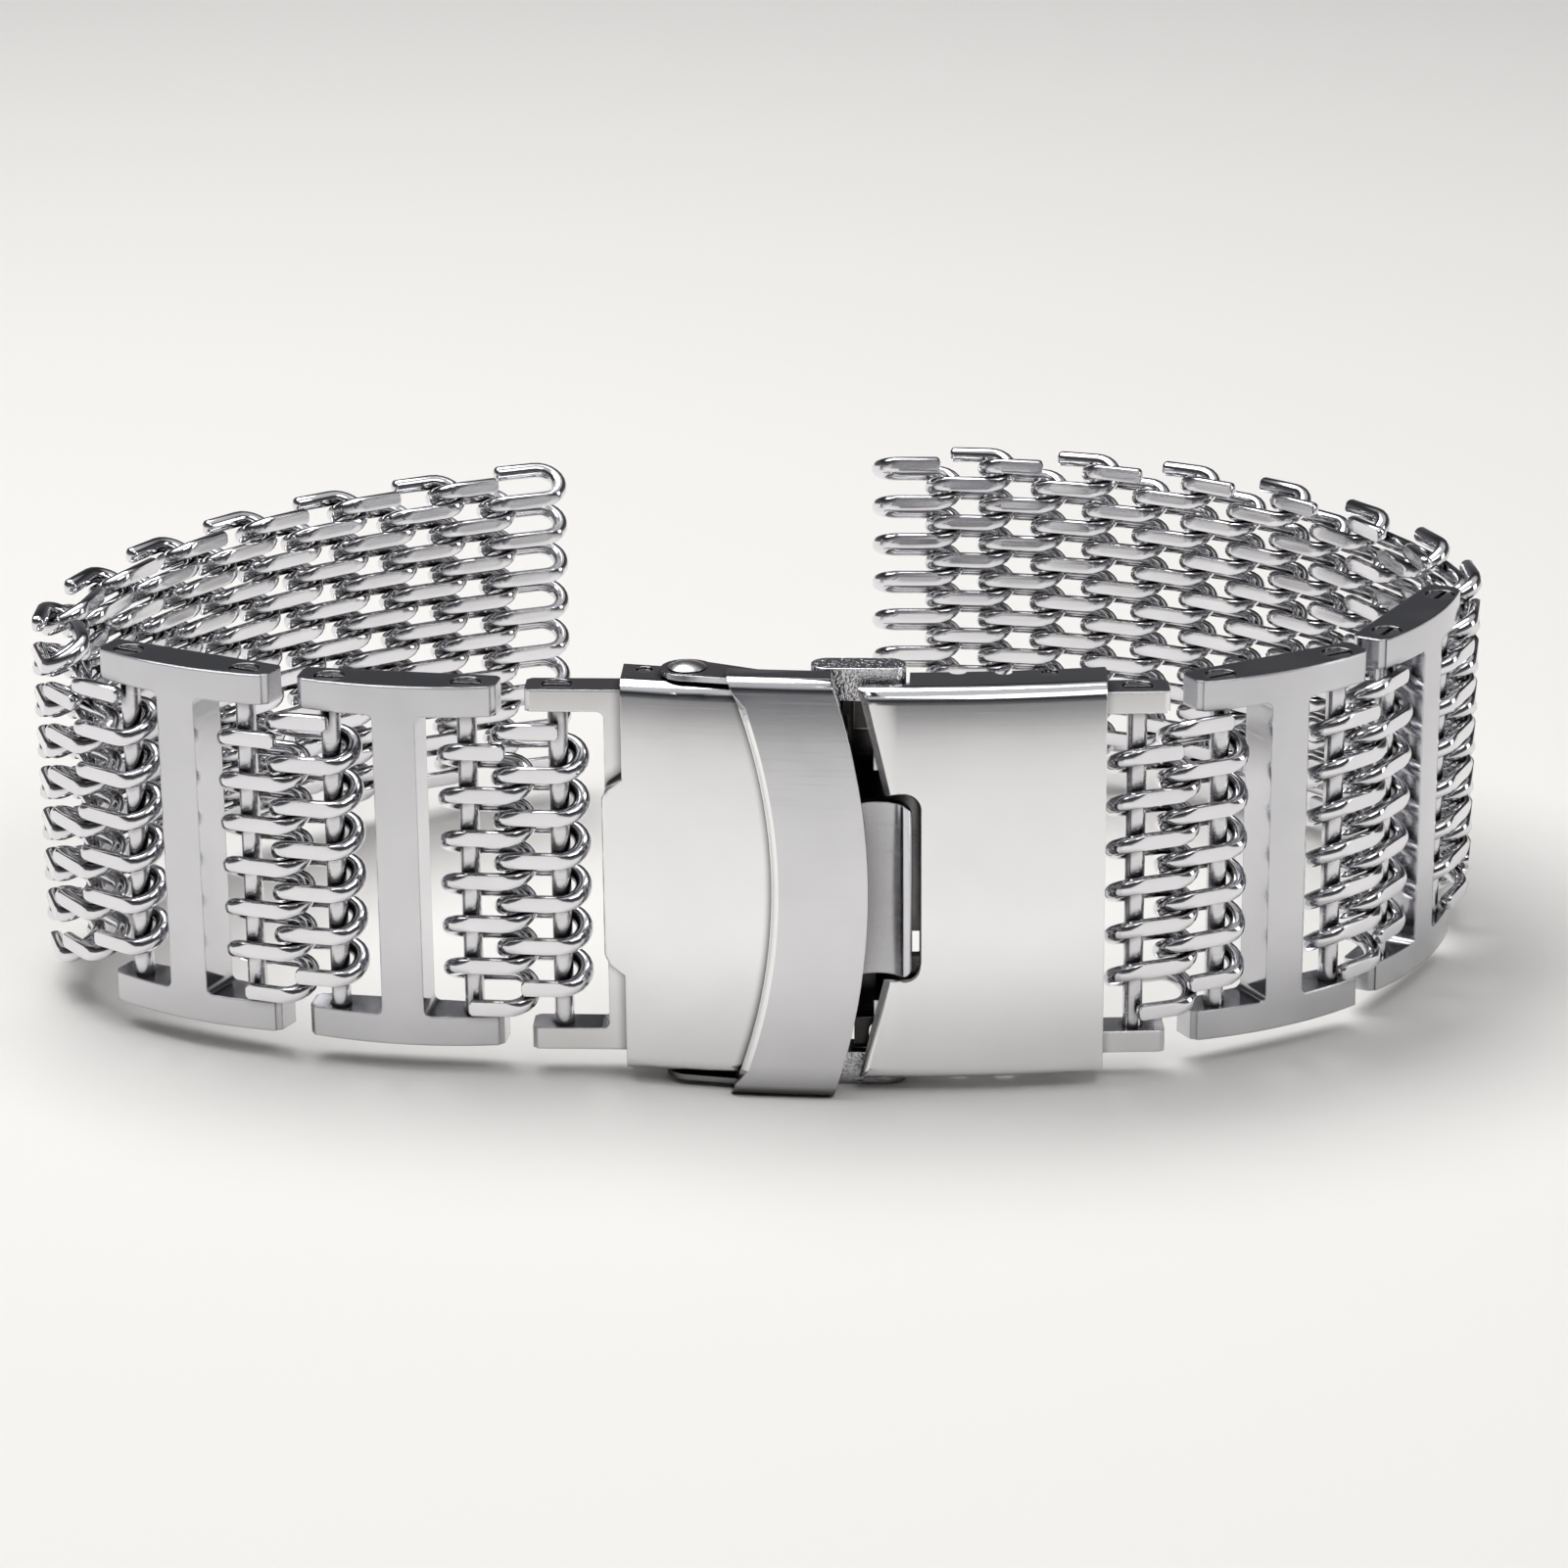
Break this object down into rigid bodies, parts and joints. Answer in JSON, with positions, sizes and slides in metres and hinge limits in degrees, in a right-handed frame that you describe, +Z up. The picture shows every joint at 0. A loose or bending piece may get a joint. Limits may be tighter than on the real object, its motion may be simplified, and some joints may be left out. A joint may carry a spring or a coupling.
{
  "type": "watch bracelet",
  "caption": "Steel watch bracelet of interlinked wire mesh and open-frame links, with a fold-over clasp, safety flap and push buttons, standing on its edge.",
  "frame": {"origin": "centre of the bounding box on the ground plane, under the middle of the standing bracelet", "axes": "+X along the closed clasp towards its cover, -Y out of the clasp's face, +Z up across the width of the band"},
  "size_m": [0.0876, 0.057, 0.0254],
  "materials": {
    "plate_steel": "mirror polished stainless steel",
    "flap_steel": "mirror polished stainless steel",
    "link_steel": "finely polished stainless steel",
    "wire_steel": "polished stainless steel wire, ground flat outside",
    "pin_steel": "polished stainless steel",
    "button_steel": "sand-blasted stainless steel",
    "blade_steel": "satin stainless steel",
    "spring_steel": "spring steel"
  },
  "bodies": {
    "clasp_base": {"catch_plate": "plate_steel", "lower_blade": "blade_steel", "flap_rivets": "pin_steel", "blade_pin": "pin_steel", "latch_housing": "blade_steel", "spring_bar_left": "pin_steel", "button_spring_top": "spring_steel", "button_spring_bottom": "spring_steel"},
    "safety_flap": {"safety_flap": "flap_steel"},
    "upper_blade": {"upper_blade": "blade_steel"},
    "cover": {"cover": "plate_steel", "cover_pins": "pin_steel", "latch_posts": "pin_steel", "spring_bar_right": "pin_steel"},
    "button_top": {"button_top": "button_steel"},
    "button_bottom": {"button_bottom": "button_steel"},
    "end_link_left": {"end_link_left": "link_steel", "end_pin_left": "pin_steel"},
    "mesh_left_1a": {"mesh_left_1a": "wire_steel"},
    "mesh_left_1b": {"mesh_left_1b": "wire_steel"},
    "link_left_1": {"link_left_1": "link_steel", "pins_left_1": "pin_steel"},
    "mesh_left_2a": {"mesh_left_2a": "wire_steel"},
    "mesh_left_2b": {"mesh_left_2b": "wire_steel"},
    "link_left_2": {"link_left_2": "link_steel", "pins_left_2": "pin_steel"},
    "long_mesh_left_0": {"long_mesh_left_0": "wire_steel"},
    "long_mesh_left_1": {"long_mesh_left_1": "wire_steel"},
    "long_mesh_left_2": {"long_mesh_left_2": "wire_steel"},
    "long_mesh_left_3": {"long_mesh_left_3": "wire_steel"},
    "long_mesh_left_4": {"long_mesh_left_4": "wire_steel"},
    "long_mesh_left_5": {"long_mesh_left_5": "wire_steel"},
    "long_mesh_left_6": {"long_mesh_left_6": "wire_steel"},
    "long_mesh_left_7": {"long_mesh_left_7": "wire_steel"},
    "long_mesh_left_8": {"long_mesh_left_8": "wire_steel"},
    "end_link_right": {"end_link_right": "link_steel", "end_pin_right": "pin_steel"},
    "mesh_right_1a": {"mesh_right_1a": "wire_steel"},
    "mesh_right_1b": {"mesh_right_1b": "wire_steel"},
    "link_right_1": {"link_right_1": "link_steel", "pins_right_1": "pin_steel"},
    "mesh_right_2a": {"mesh_right_2a": "wire_steel"},
    "mesh_right_2b": {"mesh_right_2b": "wire_steel"},
    "link_right_2": {"link_right_2": "link_steel", "pins_right_2": "pin_steel"},
    "long_mesh_right_0": {"long_mesh_right_0": "wire_steel"},
    "long_mesh_right_1": {"long_mesh_right_1": "wire_steel"},
    "long_mesh_right_2": {"long_mesh_right_2": "wire_steel"},
    "long_mesh_right_3": {"long_mesh_right_3": "wire_steel"},
    "long_mesh_right_4": {"long_mesh_right_4": "wire_steel"},
    "long_mesh_right_5": {"long_mesh_right_5": "wire_steel"},
    "long_mesh_right_6": {"long_mesh_right_6": "wire_steel"},
    "long_mesh_right_7": {"long_mesh_right_7": "wire_steel"},
    "long_mesh_right_8": {"long_mesh_right_8": "wire_steel"}
  },
  "joints": [
    {"name": "flap_hinge", "type": "hinge", "parent": "clasp_base", "child": "safety_flap", "pos_m": [-0.00326, -0.02501, 0.0127], "axis": [0, 0, -1], "range_deg": [0, 90]},
    {"name": "blade_hinge", "type": "hinge", "parent": "clasp_base", "child": "upper_blade", "pos_m": [0.01834, -0.02171, 0.0127], "axis": [0, 0, 1], "range_deg": [0, 160]},
    {"name": "cover_hinge", "type": "hinge", "parent": "upper_blade", "child": "cover", "pos_m": [0.00824, -0.02358, 0.0127], "axis": [0, 0, -1], "range_deg": [0, 160]},
    {"name": "button_top_slide", "type": "slide", "parent": "clasp_base", "child": "button_top", "axis": [0, 0, -1], "range_m": [0, 0.0005], "stiffness_N_per_m": 400, "springref_m": -0.0003, "deforming": ["button_spring_top"]},
    {"name": "button_bottom_slide", "type": "slide", "parent": "clasp_base", "child": "button_bottom", "axis": [0, 0, 1], "range_m": [0, 0.0005], "stiffness_N_per_m": 400, "springref_m": -0.0003, "deforming": ["button_spring_bottom"]},
    {"name": "end_link_left_hinge", "type": "hinge", "parent": "clasp_base", "child": "end_link_left", "pos_m": [-0.00576, -0.02411, 0.0127], "axis": [0, 0, -1], "range_deg": [-1.5, 28]},
    {"name": "mesh_left_1a_hinge", "type": "hinge", "parent": "end_link_left", "child": "mesh_left_1a", "pos_m": [-0.01076, -0.02411, 0.0127], "axis": [0, 0, 1], "range_deg": [-28, 32]},
    {"name": "mesh_left_1b_hinge", "type": "hinge", "parent": "mesh_left_1a", "child": "mesh_left_1b", "pos_m": [-0.01338, -0.02402, 0.0127], "axis": [0, 0, -1], "range_deg": [-21, 19]},
    {"name": "link_left_1_hinge", "type": "hinge", "parent": "mesh_left_1b", "child": "link_left_1", "pos_m": [-0.01601, -0.02388, 0.0127], "axis": [0, 0, 1], "range_deg": [-26, 34]},
    {"name": "mesh_left_2a_hinge", "type": "hinge", "parent": "link_left_1", "child": "mesh_left_2a", "pos_m": [-0.02395, -0.02291, 0.0127], "axis": [0, 0, -1], "range_deg": [-34, 26]},
    {"name": "mesh_left_2b_hinge", "type": "hinge", "parent": "mesh_left_2a", "child": "mesh_left_2b", "pos_m": [-0.02652, -0.02241, 0.0127], "axis": [0, 0, 1], "range_deg": [-14, 26]},
    {"name": "link_left_2_hinge", "type": "hinge", "parent": "mesh_left_2b", "child": "link_left_2", "pos_m": [-0.02903, -0.02164, 0.0127], "axis": [0, 0, -1], "range_deg": [-38, 22]},
    {"name": "long_mesh_left_0_hinge", "type": "hinge", "parent": "link_left_2", "child": "long_mesh_left_0", "pos_m": [-0.03628, -0.01826, 0.0127], "axis": [0, 0, 1], "range_deg": [-19, 41]},
    {"name": "long_mesh_left_1_hinge", "type": "hinge", "parent": "long_mesh_left_0", "child": "long_mesh_left_1", "pos_m": [-0.03873, -0.01648, 0.0127], "axis": [0, 0, -1], "range_deg": [-36, 4]},
    {"name": "long_mesh_left_2_hinge", "type": "hinge", "parent": "long_mesh_left_1", "child": "long_mesh_left_2", "pos_m": [-0.04202, -0.01041, 0.0127], "axis": [0, 0, 1], "range_deg": [-3, 37]},
    {"name": "long_mesh_left_3_hinge", "type": "hinge", "parent": "long_mesh_left_2", "child": "long_mesh_left_3", "pos_m": [-0.0416, -0.00346, 0.0127], "axis": [0, 0, -1], "range_deg": [-29, 11]},
    {"name": "long_mesh_left_4_hinge", "type": "hinge", "parent": "long_mesh_left_3", "child": "long_mesh_left_4", "pos_m": [-0.03909, 0.00307, 0.0127], "axis": [0, 0, 1], "range_deg": [-15, 25]},
    {"name": "long_mesh_left_5_hinge", "type": "hinge", "parent": "long_mesh_left_4", "child": "long_mesh_left_5", "pos_m": [-0.03544, 0.00903, 0.0127], "axis": [0, 0, -1], "range_deg": [-26, 14]},
    {"name": "long_mesh_left_6_hinge", "type": "hinge", "parent": "long_mesh_left_5", "child": "long_mesh_left_6", "pos_m": [-0.03067, 0.01414, 0.0127], "axis": [0, 0, 1], "range_deg": [-14, 26]},
    {"name": "long_mesh_left_7_hinge", "type": "hinge", "parent": "long_mesh_left_6", "child": "long_mesh_left_7", "pos_m": [-0.02498, 0.0182, 0.0127], "axis": [0, 0, -1], "range_deg": [-24, 16]},
    {"name": "long_mesh_left_8_hinge", "type": "hinge", "parent": "long_mesh_left_7", "child": "long_mesh_left_8", "pos_m": [-0.01877, 0.02143, 0.0127], "axis": [0, 0, 1], "range_deg": [-17, 23]},
    {"name": "end_link_right_hinge", "type": "hinge", "parent": "cover", "child": "end_link_right", "pos_m": [0.01724, -0.02411, 0.0127], "axis": [0, 0, 1], "range_deg": [-5.5, 10]},
    {"name": "mesh_right_1a_hinge", "type": "hinge", "parent": "end_link_right", "child": "mesh_right_1a", "pos_m": [0.02223, -0.02376, 0.0127], "axis": [0, 0, -1], "range_deg": [-12, 48]},
    {"name": "mesh_right_1b_hinge", "type": "hinge", "parent": "mesh_right_1a", "child": "mesh_right_1b", "pos_m": [0.02466, -0.02278, 0.0127], "axis": [0, 0, 1], "range_deg": [-25, 15]},
    {"name": "link_right_1_hinge", "type": "hinge", "parent": "mesh_right_1b", "child": "link_right_1", "pos_m": [0.027, -0.02159, 0.0127], "axis": [0, 0, -1], "range_deg": [-26, 34]},
    {"name": "mesh_right_2a_hinge", "type": "hinge", "parent": "link_right_1", "child": "mesh_right_2a", "pos_m": [0.03386, -0.01747, 0.0127], "axis": [0, 0, 1], "range_deg": [-45, 15]},
    {"name": "mesh_right_2b_hinge", "type": "hinge", "parent": "mesh_right_2a", "child": "mesh_right_2b", "pos_m": [0.03568, -0.01558, 0.0127], "axis": [0, 0, -1], "range_deg": [-6, 34]},
    {"name": "link_right_2_hinge", "type": "hinge", "parent": "mesh_right_2b", "child": "link_right_2", "pos_m": [0.03699, -0.01331, 0.0127], "axis": [0, 0, 1], "range_deg": [-33, 27]},
    {"name": "long_mesh_right_0_hinge", "type": "hinge", "parent": "link_right_2", "child": "long_mesh_right_0", "pos_m": [0.04063, -0.00618, 0.0127], "axis": [0, 0, -1], "range_deg": [-25, 35]},
    {"name": "long_mesh_right_1_hinge", "type": "hinge", "parent": "long_mesh_right_0", "child": "long_mesh_right_1", "pos_m": [0.04176, -0.00337, 0.0127], "axis": [0, 0, 1], "range_deg": [-35, 5]},
    {"name": "long_mesh_right_2_hinge", "type": "hinge", "parent": "long_mesh_right_1", "child": "long_mesh_right_2", "pos_m": [0.04182, 0.00358, 0.0127], "axis": [0, 0, -1], "range_deg": [-10, 30]},
    {"name": "long_mesh_right_3_hinge", "type": "hinge", "parent": "long_mesh_right_2", "child": "long_mesh_right_3", "pos_m": [0.03943, 0.01014, 0.0127], "axis": [0, 0, 1], "range_deg": [-27, 13]},
    {"name": "long_mesh_right_4_hinge", "type": "hinge", "parent": "long_mesh_right_3", "child": "long_mesh_right_4", "pos_m": [0.03547, 0.0159, 0.0127], "axis": [0, 0, -1], "range_deg": [-13, 27]},
    {"name": "long_mesh_right_5_hinge", "type": "hinge", "parent": "long_mesh_right_4", "child": "long_mesh_right_5", "pos_m": [0.03028, 0.02058, 0.0127], "axis": [0, 0, 1], "range_deg": [-26, 14]},
    {"name": "long_mesh_right_6_hinge", "type": "hinge", "parent": "long_mesh_right_5", "child": "long_mesh_right_6", "pos_m": [0.0242, 0.02402, 0.0127], "axis": [0, 0, -1], "range_deg": [-14, 26]},
    {"name": "long_mesh_right_7_hinge", "type": "hinge", "parent": "long_mesh_right_6", "child": "long_mesh_right_7", "pos_m": [0.01751, 0.02606, 0.0127], "axis": [0, 0, 1], "range_deg": [-26, 14]},
    {"name": "long_mesh_right_8_hinge", "type": "hinge", "parent": "long_mesh_right_7", "child": "long_mesh_right_8", "pos_m": [0.01056, 0.02679, 0.0127], "axis": [0, 0, -1], "range_deg": [-15, 25]}
  ],
  "couplings": [
    {"joint": "cover_hinge", "follows": "blade_hinge", "ratio": 1}
  ]
}
